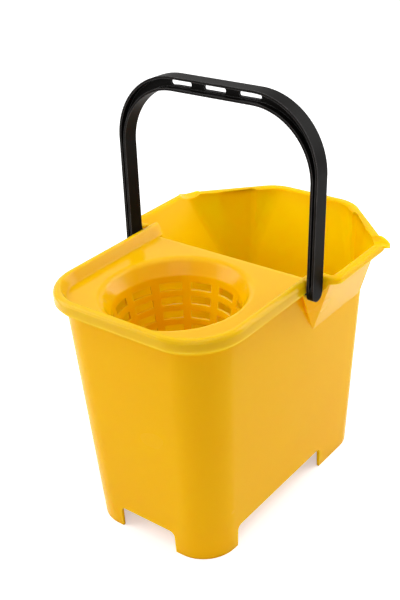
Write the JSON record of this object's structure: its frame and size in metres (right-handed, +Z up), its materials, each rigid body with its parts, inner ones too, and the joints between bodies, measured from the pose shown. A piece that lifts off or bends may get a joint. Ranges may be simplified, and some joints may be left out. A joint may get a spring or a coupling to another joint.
{
  "type": "mop bucket with wringer",
  "caption": "Plastic mop bucket with a drop-in sieve wringer over its front half, a flared rear opening, two pouring spouts and a swinging carrying handle.",
  "frame": {"origin": "centre of the whole object's outline on the floor, between the feet", "axes": "+Z up, -Y towards the front, where the wringer sits, +X to the right when looking at the front along +Y"},
  "size_m": [0.277, 0.355, 0.4602],
  "materials": {
    "yellow_plastic": "gloss",
    "black_plastic": "satin"
  },
  "bodies": {
    "bucket": {"bucket": "yellow_plastic"},
    "wringer": {"wringer": "yellow_plastic"},
    "handle": {"handle": "black_plastic"}
  },
  "joints": [
    {"name": "handle_swing", "type": "hinge", "parent": "bucket", "child": "handle", "pos_m": [0, -0.011, 0.2665], "axis": [1, 0, 0], "range_deg": [0, 121]},
    {"name": "wringer_lift", "type": "slide", "parent": "bucket", "child": "wringer", "axis": [0, 0, 1], "range_m": [0, 0.115]}
  ]
}
